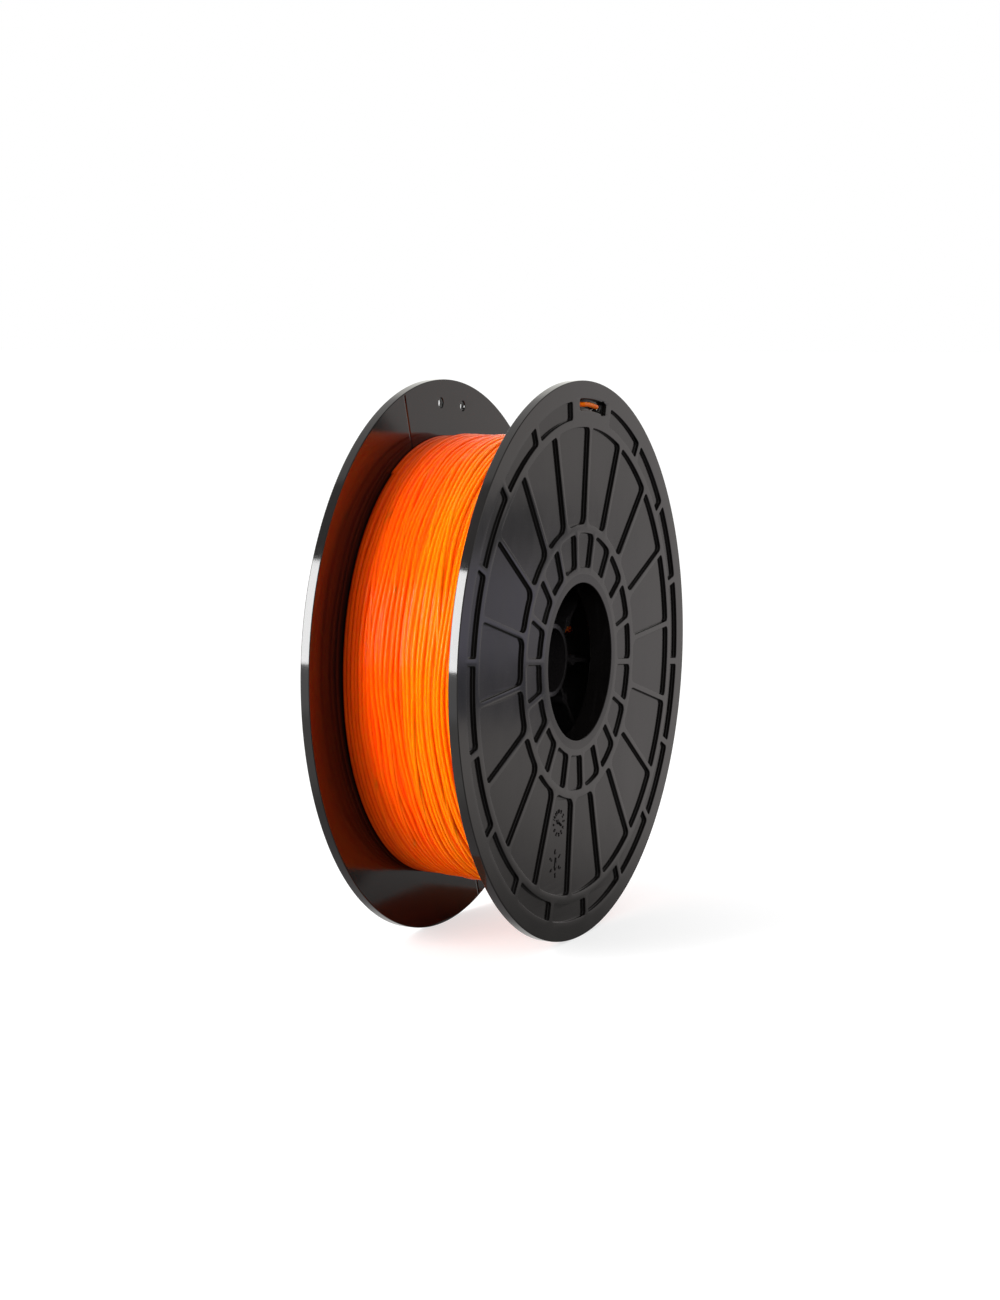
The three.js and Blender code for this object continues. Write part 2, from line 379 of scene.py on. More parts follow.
    def build(self, name, tuck, materials):
        inside = self.thickness
        rim = RIM_ROUND
        self.outer_face(tuck)
        shoulder = [(RIM_R - rim * (1 - math.sin(t)), rim * (1 - math.cos(t))) for t in quarter(4)]
        self.lathe([(RINGS[0]["bounds"][1], 0), (RIM_R - rim - OUTER_RIM_FLAT, 0), *shoulder])
        self.lathe([(RIM_R, rim), (RIM_R, inside - rim)])
        self.collar()
        self.skin.slot = POLISHED
        self.lip()
        low, high = RINGS[0]["bounds"]
        edge = RIM_R - rim - INNER_RIM_FLAT
        cut = [self.grooved_step([INNER_FACE_R, low, high, edge], angle) for angle in GROOVE_ANGLES]
        cell = [TUCK_CELL - PITCH / 2 + k * PITCH / CELL_STEPS for k in range(CELL_STEPS)]
        self.band(INNER_FACE_R, low, inside, cut)
        self.band(low, high, inside, cell + cut)
        self.band(high, edge, inside, cut)
        self.lathe([(edge, inside), (RIM_R - rim, inside), *[(r, inside - d) for r, d in shoulder]])
        return crisp(self.skin.build(name, materials))


def tuck_outline(first, grow):
    """The groove with a round eye about its second hole, moved outward by grow, as (x, z) points."""
    at = TUCK["at"]
    half = math.radians(TUCK["before"] + TUCK["spacing"] + TUCK["after"]) / 2
    corner = TUCK["corner"] + grow
    inner = at - TUCK["half"] - grow
    outer = at + TUCK["half"] + grow
    reach = half + grow / at
    turn_out = reach - corner / (outer - corner)
    turn_in = reach - corner / (inner + corner)
    upper = ((outer - corner) * math.cos(turn_out), (outer - corner) * math.sin(turn_out))
    lower = ((inner + corner) * math.cos(turn_in), (inner + corner) * math.sin(turn_in))
    side = np.concatenate([
        arc(upper, corner, turn_out, reach + math.pi / 2, CORNER_STEPS, last=True),
        arc(lower, corner, reach + math.pi / 2, turn_in + math.pi, CORNER_STEPS, last=True),
    ])
    outline = np.concatenate([
        arc((0, 0), outer, -turn_out, turn_out, TUCK_STEPS), side[:-1],
        arc((0, 0), inner, turn_in, -turn_in, TUCK_STEPS), (side[::-1] * [1, -1])[:-1],
    ])
    # Points that lie inside the eye move out to its edge
    offset = half - math.radians(TUCK["after"])
    eye = at * np.array([math.cos(offset), -math.sin(offset)])
    away = outline - eye
    distance = np.hypot(*away.T)
    radius = TUCK["eye"] + grow
    inside = distance < radius
    outline[inside] = eye + away[inside] / distance[inside, None] * radius
    return turned(outline, 90 - (first - TUCK["before"] + math.degrees(half)))


def hole_outline(angle, stretch, size=1):
    """A function from grow to the outline of a hole at a clock angle, lengthened along the groove."""
    centre = clock(TUCK["at"], angle)
    along = clock(1, angle + 90)
    out = clock(1, angle)
    turns = np.linspace(0, 2 * math.pi, HOLE_SIDES, endpoint=False)

    def outline(grow):
        length = TUCK["hole"] * size * stretch + grow
        height = TUCK["hole"] * size + grow
        return centre + length * np.outer(np.cos(turns), along) + height * np.outer(np.sin(turns), out)

    return outline


# ---------------------------------------- hub
HUB_STEPS = 180  # steps of the mesh around the drum and the spider's ring
HUB_ROUND = 0.2
DRUM_HOLE = dict(radius=1.8, angle=82.0, y=-4.2)
DRILL_REACH = 5
DRILL_TURN = 0.1  # keeps the hole's corners off the seams of the drum's mesh
RING_R = 13.1
RING_WALL = 1.6
WEB_COUNT = 8
WEB_ANGLE = 6.0
WEB_THICKNESS = 1.6
WEB_BACK = 0.7  # how far the webs' edges lie behind the ring's
POST_R = 2.0
POST_AT = 20.0
POST_SIDES = 24


def round_wall(name, inner, outer, low, high, material):
    """A plain round wall about the spool's axis, between two radii and two places along it."""
    skin = Skin()
    angles = np.linspace(0, 360, HUB_STEPS, endpoint=False)
    outline = ((inner, low), (outer, low), (outer, high), (inner, high), (inner, low))
    skin.loops([lifted(clock(radius, angles), y) for radius, y in outline])
    return skin.build(name, [material])


def boolean(piece, other, operation):
    """Cuts or joins a piece with another, which is used up."""
    modifier = piece.modifiers.new("cut", "BOOLEAN")
    modifier.operation = operation
    modifier.solver = "EXACT"
    modifier.object = other
    graph = bpy.context.evaluated_depsgraph_get()
    mesh = bpy.data.meshes.new_from_object(piece.evaluated_get(graph))
    piece.modifiers.clear()
    piece.data = mesh
    mesh.name = piece.name
    bpy.data.objects.remove(other)


def rounded(piece, width):
    """Rounds a piece's sharp edges by a width in millimetres."""
    modifier = piece.modifiers.new("edges", "BEVEL")
    modifier.width = width * MM
    modifier.segments = 2
    modifier.limit_method = "ANGLE"
    modifier.angle_limit = math.radians(40)
    return crisp(piece)


def block(ends):
    """A straight solid between two flat outlines."""
    skin = Skin()
    skin.loops(ends)
    for end in ends:
        skin.fill(end)
    return skin.build("block", [])


def prism(outline, low_y, high_y):
    """A block from an outline of (x, z) points, between two places along the axis."""
    return block([lifted(outline, y) for y in (low_y, high_y)])


def make_drum(material):
    """The drum, with the hole that the filament's inner end comes through."""
    drum = round_wall("hub_drum_shell", DRUM_R - DRUM_WALL, DRUM_R, DRUM_LOW.y, DRUM_HIGH.y, material)
    turns = np.linspace(0, 2 * math.pi, HOLE_SIDES, endpoint=False) + DRILL_TURN
    turn = math.radians(DRUM_HOLE["angle"])
    out = np.array([math.sin(turn), 0, math.cos(turn)])
    side = np.array([math.cos(turn), 0, -math.sin(turn)])
    along = np.array([0, 1, 0])
    ring = np.outer(np.cos(turns), side) + np.outer(np.sin(turns), along)
    centre = out * DRUM_R + along * DRUM_HOLE["y"]
    ends = [centre + out * reach + DRUM_HOLE["radius"] * ring for reach in (-DRILL_REACH, DRILL_REACH)]
    boolean(drum, block(ends), "DIFFERENCE")
    return rounded(drum, HUB_ROUND)


def make_spider(material):
    """The centre ring, and the webs that carry it in the drum, each with a round post."""
    edge = SPIDER_HIGH.y
    web = edge - WEB_BACK
    spider = round_wall("hub_spider_webs", RING_R - RING_WALL, RING_R, -edge, edge, material)
    half = WEB_THICKNESS / 2
    inner = RING_R - RING_WALL / 2
    outer = DRUM_R - DRUM_WALL - GAP
    bar = np.array([[-half, inner], [half, inner], [half, outer], [-half, outer]])
    turns = np.linspace(0, 2 * math.pi, POST_SIDES, endpoint=False)
    post = np.stack([POST_R * np.cos(turns), POST_AT + POST_R * np.sin(turns)], -1)
    for k in range(WEB_COUNT):
        for outline in (bar, post):
            web_outline = turned(outline, -(WEB_ANGLE + k * 360 / WEB_COUNT))
            boolean(spider, prism(web_outline, -web, web), "UNION")
    return rounded(spider, HUB_ROUND)


# ---------------------------------------- date dials
DIALS = [dict(x=-16.3, z=-55.8, marks=12, size=2.0, pointer=-58),
         dict(x=-19.4, z=-69.9, marks=6, size=2.6, pointer=190)]
FIGURES_R = 4.1  # how far the figures stand from a dial's middle
DIAL_FLOOR = FRONT_Y + POCKET_DEPTH
DIAL_RAISED = 0.25
DIAL_SUNK = 0.08  # how far the figures and pointers reach into the floor
# Half of a pointer's outline: (place along it, half width)
POINTER = [(-2.2, 0.35), (1.0, 0.35), (1.0, 0.9), (2.5, 0)]


def raised_mark(work, body, size, middle, turn):
    """Adds one figure in the shape of the built-in font, turned clockwise about its middle."""
    curve = bpy.data.curves.new("figure", "FONT")
    curve.body = body
    curve.size = size
    curve.extrude = DIAL_RAISED / 2 + DIAL_SUNK / 2
    curve.resolution_u = 2
    curve.align_x = "CENTER"
    curve.align_y = "CENTER"
    figure = bpy.data.objects.new("figure", curve)
    mesh = bpy.data.meshes.new_from_object(figure)
    angle = -math.radians(turn)
    c, s = math.cos(angle), math.sin(angle)
    y = DIAL_FLOOR - DIAL_RAISED / 2 + DIAL_SUNK / 2
    for vert in mesh.vertices:
        x, up, out = vert.co
        vert.co = Vector((middle[0] + c * x - s * up, y - out, middle[1] + s * x + c * up))
    work.from_mesh(mesh)
    bpy.data.objects.remove(figure)
    bpy.data.curves.remove(curve)
    bpy.data.meshes.remove(mesh)


def pointer_outline(dial):
    turn = math.radians(dial["pointer"])
    out = np.array([math.sin(turn), math.cos(turn)])
    side = np.array([out[1], -out[0]])
    one_half = [along * out + width * side for along, width in POINTER]
    other_half = [along * out - width * side for along, width in POINTER[-2::-1]]
    return np.array([dial["x"], dial["z"]]) + np.array(one_half + other_half)


def make_dials(material):
    """Two raised date dials on the floor of a pocket: figures round a pointer."""
    work = bmesh.new()
    for dial in DIALS:
        for k in range(dial["marks"]):
            turn = 360 / dial["marks"] * (k + 1)
            x, z = clock(FIGURES_R, turn)
            raised_mark(work, str(k + 1), dial["size"], (dial["x"] + x, dial["z"] + z), turn)
    mesh = bpy.data.meshes.new("date_dials")
    bmesh.ops.remove_doubles(work, verts=work.verts, dist=1e-4)
    bmesh.ops.scale(work, vec=(MM, MM, MM), verts=work.verts)
    work.to_mesh(mesh)
    work.free()
    piece = add_piece("front_flange_date_dials", mesh, [material])
    mesh.shade_flat()
    for dial in DIALS:
        pointer = prism(pointer_outline(dial), DIAL_FLOOR - DIAL_RAISED, DIAL_FLOOR + DIAL_SUNK)
        boolean(piece, pointer, "UNION")
    return piece


# ---------------------------------------- filament
SNUG = 0.05  # clearance between a flange and the turn beside it
TAIL_HIDES = 0.06  # how much thinner the last turn's end is, inside the tail's start
TAIL_CLEAR = 0.06  # clearance between the tail and the outer face, as it lies in the groove
WINDING_FRONT_Y = FRONT_INNER_Y + FILAMENT_R + SNUG  # centre of the turn beside the front flange
WINDING_REAR_Y = REAR_INNER_Y - FILAMENT_R - SNUG
TURNS = 30
TURN_STEPS = 210
STRAND_SIDES = 12
LAST_ANGLE = -30.8  # where the strand leaves the winding for the tuck groove
WINDING_R = 80.2
# Where turns are pressed together every other one rises, changing over at a place out of sight
PRESSED_FROM = 0.06
PRESSED_MOST = 0.5
PRESSED_RISE = 0.8
CHANGE_ANGLE = 90
CHANGE_FADE = 30
# A crossing turn: how far its ends lie below the top layer and its middle above it, the length of each
# slope and one step of its mesh, in degrees
SUNK = 1.0
RIDE = 0.35
CROSSING_SLOPE = 16
CROSSING_STEP = 1.5
# Below the top layer: steps round the body and across a groove, how far it lies below the strands'
# centres, its grooves' depth and its sway as shares of a strand's, and its wave, which fades in
INNER_STEPS = 240
GROOVE_STEPS = 6
INNER_SUNK = 0.20
INNER_RISE = 0.7
INNER_SWAY = 0.5
INNER_WAVE = 0.4
WAVE_FADE = 4
# Uneven winding, as waves of (size, rate for each turn, phase): sideways, and up and down
WOBBLE = [(0.20, 0.57, 0.4), (0.14, 1.41, 2.1), (0.07, 2.73, 5.0), (0.04, 5.19, 1.3)]
LIFT = [(0.15, 0.61, 1.4), (0.12, 1.37, 3.1), (0.06, 3.21, 0.2)]
EVEN_START = 0.6  # turns that lie straight against the rear flange, and at both flanges together
EVEN_BOTH = 1.5
END_CALM = 1.2  # turns at each end over which the waves fade in
PARTING_EDGE = 0.5  # how sharp a parting's edges are
PARTING_REACH = 7.5  # how far to the side turns give way for it
STRAIGHT_FRONT = 4.0  # depths beyond which turns lie straight along a flange
STRAIGHT_REAR = 55.5
STRAIGHT_FADE = 5.0

# Outer radius of the winding, less WINDING_R, by depth from the front flange's outer face
TOP_PROFILE = [(3, 0), (9, -0.5), (16, -0.2), (24, 0.3), (31, 0.2), (36, -0.2), (44, 0.4), (48, 0),
               (51, -0.4), (56, -0.3)]
SIDE_PROFILE = [(3, 0), (20, 0.2), (30, 0.1), (40, -0.3), (46, -0.8), (50, -1.3), (53, -2.0), (56, -2.6)]
LOW_PROFILE = [(3, 0.4), (20, 0.6), (32, 0.5), (40, -0.2), (47, -0.6), (56, -0.8)]
TOP_SHIFT = 5  # how far before the top of the spool the top's profile is centred, in degrees
PROFILE_FALL = 1.5  # how quickly the top's and the bottom's profiles give way to the side's

# Where turns part and show the layer below: (depth, clock angle, gap, half length in degrees)
PARTINGS = [
    (29.4, -46, 3.2, 19), (32.6, -93, 1.6, 8), (42.4, -102, 1.4, 8), (35.0, -117, 1.1, 5),
    (38.0, -128, 0.9, 5), (39.2, -38, 1.7, 11), (18.2, -52, 1.7, 15), (22.5, -140, 1.2, 9),
    (46.5, -65, 1.0, 9), (12.5, -98, 1.0, 10), (25.0, 60, 2.4, 18), (40.0, 95, 1.6, 12),
    (14.0, 130, 1.5, 12), (33.0, 165, 1.8, 12), (45.0, 30, 1.2, 10),
]
# Where a band of turns leans aside: (depth, clock angle, shift towards the front, half width, half length)
LEANS = [
    (24, -72, 1.3, 10, 16), (15, -70, 0.9, 8, 14), (40, -80, -1.1, 8, 17), (30, -115, 0.8, 9, 22),
    (45, -120, -0.6, 8, 18), (20, -150, 0.9, 12, 20), (35, -20, -0.9, 9, 15), (20, 60, 1.0, 10, 30),
    (40, 110, -1.0, 9, 28), (28, 160, 0.8, 10, 25),
]
# Turns that ride over their neighbours: depth and clock angle where each rises and where it sinks again
CROSSINGS = [
    (31.5, -14, 27.0, -66), (41.0, -22, 36.0, -78), (23.5, -30, 17.5, -88), (47.0, -34, 43.0, -96),
    (26.0, -82, 30.0, -138), (36.0, -92, 40.5, -150), (13.0, -58, 9.0, -118), (45.5, -108, 48.5, -160),
    (19.5, -112, 22.5, -165), (34.0, 24, 28.5, 92), (18.0, 40, 23.0, 120), (44.0, 70, 38.0, 150),
    (12.0, 110, 16.0, 172), (26.5, 130, 31.0, 190),
]


def turn_between(angle, other):
    """The signed angle from one clock angle to another, within half a turn."""
    return (angle - other + 180) % 360 - 180


def sway(angle, depth):
    """How far a turn lies from its even place, in the direction of growing depth."""
    moved = np.zeros_like(depth)
    for place, middle, gap, reach in PARTINGS:
        fade = np.exp(-(turn_between(angle, middle) / reach) ** 2)
        offset = depth - place
        moved += fade * gap / 2 * np.tanh(offset / PARTING_EDGE) * np.exp(-(offset / PARTING_REACH) ** 2)
    for place, middle, shift, width, reach in LEANS:
        fade = np.exp(-(turn_between(angle, middle) / reach) ** 2)
        moved -= fade * shift * np.exp(-((depth - place) / width) ** 2)
    room = np.clip(np.minimum(depth - STRAIGHT_FRONT, STRAIGHT_REAR - depth) / STRAIGHT_FADE, 0, 1)
    return moved * room


def winding_radius(angle, depth):
    """Outer radius of the winding."""
    up = np.clip(np.cos(np.radians(angle + TOP_SHIFT)), 0, 1) ** PROFILE_FALL
    down = np.clip(-np.cos(np.radians(angle)), 0, 1) ** PROFILE_FALL
    side = 1 - up - down
    total = np.zeros_like(depth)
    for weight, profile in ((up, TOP_PROFILE), (side, SIDE_PROFILE), (down, LOW_PROFILE)):
        places, heights = zip(*profile)
        total += weight * np.interp(depth, places, heights)
    return WINDING_R + total


def waves(place, parts):
    return sum(size * np.sin(2 * math.pi * rate * place + phase) for size, rate, phase in parts)


def smooth_step(value):
    value = np.clip(value, 0, 1)
    return value * value * (3 - 2 * value)


def tube_mesh(skin, centres, outward, radius, sides):
    """A closed round strand along centres; outward is a direction roughly square to it at each one."""
    tangent = np.gradient(centres, axis=0)
    tangent /= np.linalg.norm(tangent, axis=1)[:, None]
    up = outward - (outward * tangent).sum(1)[:, None] * tangent
    up /= np.linalg.norm(up, axis=1)[:, None]
    across = np.cross(tangent, up)
    turns = np.linspace(0, 2 * math.pi, sides, endpoint=False)
    size = np.broadcast_to(radius, len(centres))[:, None, None]
    round_about = np.cos(turns)[None, :, None] * up[:, None] + np.sin(turns)[None, :, None] * across[:, None]
    rings = centres[:, None] + size * round_about
    count = len(centres)
    start = len(skin.points)
    skin.points.extend(rings.reshape(-1, 3).tolist())
    grid = start + np.arange(count * sides).reshape(count, sides)
    nxt = np.roll(grid, -1, axis=1)
    quads = np.stack([grid[:-1], nxt[:-1], nxt[1:], grid[1:]], -1).reshape(-1, 4)
    skin.faces.extend(quads.tolist())
    skin.faces.append(grid[0].tolist())
    skin.faces.append(grid[-1].tolist())
    skin.slots.extend([skin.slot] * (len(quads) + 2))


def add_crossing(skin, first_depth, first_angle, last_depth, last_angle):
    """A stretch of a turn that comes up through the top layer, slants across it and sinks in again."""
    count = int(abs(last_angle - first_angle) / CROSSING_STEP)
    share = np.linspace(0, 1, count + 1)
    angle = first_angle + (last_angle - first_angle) * share
    depth = first_depth + (last_depth - first_depth) * smooth_step(share)
    reach = np.minimum(share, 1 - share) * abs(last_angle - first_angle)
    rise = (SUNK + RIDE) * smooth_step(reach / CROSSING_SLOPE)
    radius = winding_radius(angle, depth) - FILAMENT_R - SUNK + rise
    centres = lifted(clock(radius, angle), depth + FRONT_Y)
    tube_mesh(skin, centres, centres * [1, 0, 1], FILAMENT_R, STRAND_SIDES)


def outer_turns(material):
    """The top layer: one strand that winds from the rear flange to the front one."""
    turn = np.linspace(0, TURNS, TURNS * TURN_STEPS + 1)
    angle = LAST_ANGLE - 360 * (TURNS - turn)
    even = np.clip((turn - EVEN_START) / (TURNS - EVEN_BOTH), 0, 1)
    y = WINDING_REAR_Y + (WINDING_FRONT_Y - WINDING_REAR_Y) * even
    depth = y - FRONT_Y
    ends = smooth_step(turn / END_CALM) * smooth_step((TURNS - turn) / END_CALM)
    moved = sway(angle, depth) + waves(turn, WOBBLE) * ends
    pressed = np.clip(-(sway(angle, depth + 1) - sway(angle, depth - 1)) / 2 - PRESSED_FROM, 0, PRESSED_MOST)
    parity = np.cos(math.pi * np.floor(turn - (CHANGE_ANGLE - LAST_ANGLE) / 360))
    parity *= np.clip(np.abs(turn_between(angle, CHANGE_ANGLE)) / CHANGE_FADE, 0, 1)
    placed = depth + moved
    placed = np.clip(placed, WINDING_FRONT_Y - FRONT_Y, WINDING_REAR_Y - FRONT_Y)
    rise = waves(turn, LIFT) * ends + parity * pressed * PRESSED_RISE
    radius = winding_radius(angle, placed) - FILAMENT_R + rise
    radius[-1] = WINDING_R - FILAMENT_R
    centres = lifted(clock(radius, angle), placed + FRONT_Y)
    skin = Skin()
    size = np.full(len(centres), FILAMENT_R)
    size[-2:] = FILAMENT_R - TAIL_HIDES
    tube_mesh(skin, centres, centres * [1, 0, 1], size, STRAND_SIDES)
    for crossing in CROSSINGS:
        add_crossing(skin, *crossing)
    return skin.build("filament_outer_turns", [material], weld=0.0001), centres[-1]


def inner_turns(material):
    """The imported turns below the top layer, as one grooved body."""
    angles = np.linspace(0, 360, INNER_STEPS, endpoint=False)
    strands = TURNS - 1
    low = FRONT_INNER_Y + GAP - FRONT_Y
    high = REAR_INNER_Y - GAP - FRONT_Y
    spacing = (high - low) / strands
    loops = []
    for k in range(strands * GROOVE_STEPS + 1):
        even = low + (high - low) * k / (strands * GROOVE_STEPS)
        depth = np.full(len(angles), even)
        fade = min(1, (even - low) / WAVE_FADE, (high - even) / WAVE_FADE)
        wave = INNER_WAVE * np.sin(np.radians(3 * angles)) * fade
        moved = np.clip(depth - INNER_SWAY * sway(-angles, depth) + wave, low, high)
        off = (k / GROOVE_STEPS) % 1 - 0.5
        hump = math.sqrt(max(FILAMENT_R ** 2 - (off * spacing) ** 2, 0.02))
        radius = winding_radius(angles, moved) - FILAMENT_R - INNER_SUNK + hump * INNER_RISE
        loops.append(lifted(clock(radius, angles), moved + FRONT_Y))
    for depth in (high, low):
        loops.append(lifted(clock(DRUM_R + GAP, angles), depth + FRONT_Y))
    loops.append(loops[0])
    skin = Skin()
    skin.loops(loops)
    return skin.build("filament_inner_turns", [material], weld=0.0001)


ROUTE_STEPS = 10  # steps of an end's line between two of its points
END_SIDES = 20
END_ROUND = 0.12


def curve_through(points):
    """A smooth Catmull-Rom line through points, with even parameter steps."""
    points = np.asarray(points, float)
    padded = np.concatenate([[2 * points[0] - points[1]], points, [2 * points[-1] - points[-2]]])
    line = []
    for k in range(len(points) - 1):
        a, b, c, d = padded[k:k + 4]
        for t in np.linspace(0, 1, ROUTE_STEPS, endpoint=False):
            square = (2 * a - 5 * b + 4 * c - d) * t ** 2
            cube = (3 * b - a - 3 * c + d) * t ** 3
            line.append(0.5 * (2 * b + (c - a) * t + square + cube))
    line.append(points[-1])
    return np.array(line)


def strand(name, points, material, outward):
    """A loose end of the filament, along a smooth line through points."""
    line = curve_through(points)
    skin = Skin()
    tube_mesh(skin, line, np.broadcast_to(outward, line.shape), FILAMENT_R, END_SIDES)
    return rounded(skin.build(name, [material], weld=0.0001), END_ROUND)


def tail_route(start):
    """Straight off the last turn to the first tuck hole, out through it, and along the groove."""
    turn = math.radians(LAST_ANGLE)
    along = np.array([math.cos(turn), 0, -math.sin(turn)])
    points = [start + along * reach for reach in (-1.5, 6, 14, 22, 30, 37)]
    groove = FRONT_Y + FILAMENT_R + TAIL_CLEAR
    inside = WINDING_FRONT_Y
    for radius, angle, y in (
        (90.2, -2.4, inside), (91.1, -0.5, inside - 0.1), (91.5, 0.35, inside - 1),
        (91.5, 1.15, inside - 2.7), (91.5, 2.2, groove + 0.1), (91.6, 3.6, groove), (91.6, 6.4, groove),
        (91.5, 9.7, groove),
    ):
        points.append(lifted(clock(radius, angle), y))
    return points


def inner_end_route():
    """In through the drum's hole, then round along the drum's inner wall."""
    hole = DRUM_HOLE["angle"]
    places = [
        (DRUM_R + 0.6, hole, 0), (45.4, hole, 0), (43.6, 82.6, 1.2), (42.6, 84.2, 3.0), (42.2, 87.0, 4.6),
        (42.6, 90.5, 5.4),
    ]
    return [lifted(clock(radius, angle), DRUM_HOLE["y"] + shift) for radius, angle, shift in places]


# ---------------------------------------- materials
class Nodes:
    """Makes a tree's nodes and links them, in one line each."""

    def __init__(self, tree):
        self.tree = tree

    def feed(self, socket, value):
        if isinstance(value, bpy.types.NodeSocket):
            self.tree.links.new(value, socket)
        else:
            socket.default_value = value

    def node(self, kind, inputs=None, **settings):
        made = self.tree.nodes.new("ShaderNode" + kind)
        for key, value in settings.items():
            setattr(made, key, value)
        for socket, value in (inputs or {}).items():
            self.feed(made.inputs[socket], value)
        return made

    def math(self, operation, *values):
        return self.node("Math", dict(enumerate(values)), operation=operation).outputs[0]

    def blend(self, share, one, two):
        """A colour between two others, each a socket or its red, green and blue."""
        mix = self.node("Mix", {0: share}, data_type="RGBA")
        for socket, value in ((mix.inputs[6], one), (mix.inputs[7], two)):
            self.feed(socket, value if isinstance(value, bpy.types.NodeSocket) else (*value, 1))
        return mix.outputs[2]


class Shader(Nodes):
    """A material's nodes."""

    def __init__(self, name):
        self.material = bpy.data.materials.new(name)
        self.material.use_nodes = True
        super().__init__(self.material.node_tree)
        self.surface = self.tree.nodes["Principled BSDF"]
        self.place = self.node("TexCoord").outputs["Object"]

    def noise(self, scale, detail=3.0, roughness=0.55, stretch=None):
        place = self.place
        if stretch:
            place = self.node("Mapping", {"Vector": place, "Scale": stretch}).outputs["Vector"]
        inputs = {"Vector": place, "Scale": scale, "Detail": detail, "Roughness": roughness}
        return self.node("TexNoise", inputs).outputs["Fac"]

    def spread(self, value, low, high, start=0.3, end=0.7):
        inputs = {"Value": value, "From Min": start, "From Max": end, "To Min": low, "To Max": high}
        return self.node("MapRange", inputs).outputs["Result"]

    def bump(self, height, strength, distance, normal=None):
        inputs = {"Height": height, "Strength": strength, "Distance": distance}
        if normal is not None:
            inputs["Normal"] = normal
        return self.node("Bump", inputs).outputs["Normal"]

    def finish(self, inputs):
        for socket, value in inputs.items():
            self.feed(self.surface.inputs[socket], value)
        return self.material


SCUFF_COLOR = (0.03, 0.028, 0.027)
SCUFF_SHARE = 0.3
# Colours of the black plastic and of the orange at the front, in the middle and at the rear, with painted
# light and painted shade among them
BLACK = (0.0062, 0.0054, 0.0052)
INNER_BLACK = (0.0058, 0.0050, 0.0050)
# The hub's black is paler than the flanges': painted light, standing in for light that reaches the spider
# deep in the bore
HUB_BLACK_PAINTED_LIGHT = (0.010, 0.009, 0.0095)
# The orange's middle and rear colours, darker and redder, are painted shade cast by the rear flange on the
# winding
ORANGE_AND_REAR_SHADE = [(0.99, 0.165, 0.0005), (0.97, 0.098, 0.0004), (0.50, 0.040, 0.0006)]
# The layer below, seen in the partings, is darker and redder again: painted shade in the gaps between turns
GAP_ORANGE_AND_SHADE = [(0.98, 0.100, 0.0004), (0.95, 0.062, 0.0003), (0.45, 0.030, 0.0005)]


def black_plastic(name, base, gloss, grain, shine=0.5):
    """Injection-moulded glossy black plastic: faint flow and sink marks, light handling scuffs."""
    shader = Shader(name)
    cloud = shader.noise(22, 4)
    flow = shader.noise(60, 3, stretch=(1.0, 1.0, 0.35))
    fine = shader.noise(1800, 2)
    scuff = shader.spread(shader.noise(420, 6, 0.7), 0, 1, 0.64, 0.76)
    darker, paler = (tuple(part * change for part in base) for change in (0.8, 1.25))
    color = shader.blend(shader.spread(cloud, 0, 1), darker, paler)
    color = shader.blend(shader.math("MULTIPLY", scuff, SCUFF_SHARE), color, SCUFF_COLOR)
    rough = shader.spread(flow, gloss - 0.02, gloss + 0.03)
    rough = shader.math("ADD", rough, shader.spread(scuff, 0, 0.10, 0, 1))
    dents = shader.bump(shader.noise(45, 2), 0.5, 0.00006)
    normal = shader.bump(fine, grain, 0.000004, dents)
    return shader.finish({"Base Color": color, "Roughness": rough, "Normal": normal, "IOR": 1.5,
                          "Specular IOR Level": shine})


def orange_filament(name, near, middle, far):
    """Glossy, translucent orange plastic, darker and redder towards the rear flange, which is painted shade
    cast by the rear flange.
    """
    shader = Shader(name)
    along = shader.node("SeparateXYZ", {"Vector": shader.place}).outputs["Y"]
    streak = shader.noise(260, 2, stretch=(0.15, 2.0, 0.15))
    place = shader.math("ADD", along, shader.math("MULTIPLY", streak, 0.010))
    # Darker and redder towards the rear flange: painted shade cast by the rear flange
    color = shader.blend(shader.spread(place, 0, 1, 0.002, 0.009), near, middle)
    color = shader.blend(shader.spread(place, 0, 1, 0.018, 0.033), color, far)
    rough = shader.spread(streak, 0.12, 0.18)
    normal = shader.bump(shader.noise(400, 1), 0.1, 0.00001)
    return shader.finish({
        "Base Color": color, "Roughness": rough, "Normal": normal, "IOR": 1.47, "Specular IOR Level": 0.13,
        "Subsurface Weight": 1.0, "Subsurface Scale": 0.0006, "Subsurface Radius": (0.45, 0.28, 0.10),
    })


def paper(name, darker, paler, glow=0.0):
    """Dull paper with faint, broad blotches."""
    shader = Shader(name)
    tone = shader.blend(shader.spread(shader.noise(3, 4), 0, 1), darker, paler)
    return shader.finish({"Base Color": tone, "Roughness": 0.85, "Specular IOR Level": 0.0,
                          "Emission Strength": glow})


# ---------------------------------------- studio
AZIMUTH = math.radians(-64.76)
ELEVATION = math.radians(6.62)
DISTANCE = 970.8
LENS = 75.3
AIM_RIGHT = -28.8  # from the front face's centre
AIM_UP = 4.2


def make_camera():
    level = math.cos(ELEVATION)
    back = Vector((math.sin(AZIMUTH) * level, -math.cos(AZIMUTH) * level, math.sin(ELEVATION)))
    right = Vector((math.cos(AZIMUTH), math.sin(AZIMUTH), 0))
    up = back.cross(right)
    data = bpy.data.cameras.new("camera")
    data.lens = LENS
    camera = bpy.data.objects.new("camera", data)
    aim = Vector((0, FRONT_Y, 0)) + right * AIM_RIGHT + up * AIM_UP
    camera.location = (aim + back * DISTANCE) * MM
    camera.rotation_euler = back.to_track_quat("Z", "Y").to_euler()
    bpy.context.scene.collection.objects.link(camera)
    bpy.context.scene.camera = camera


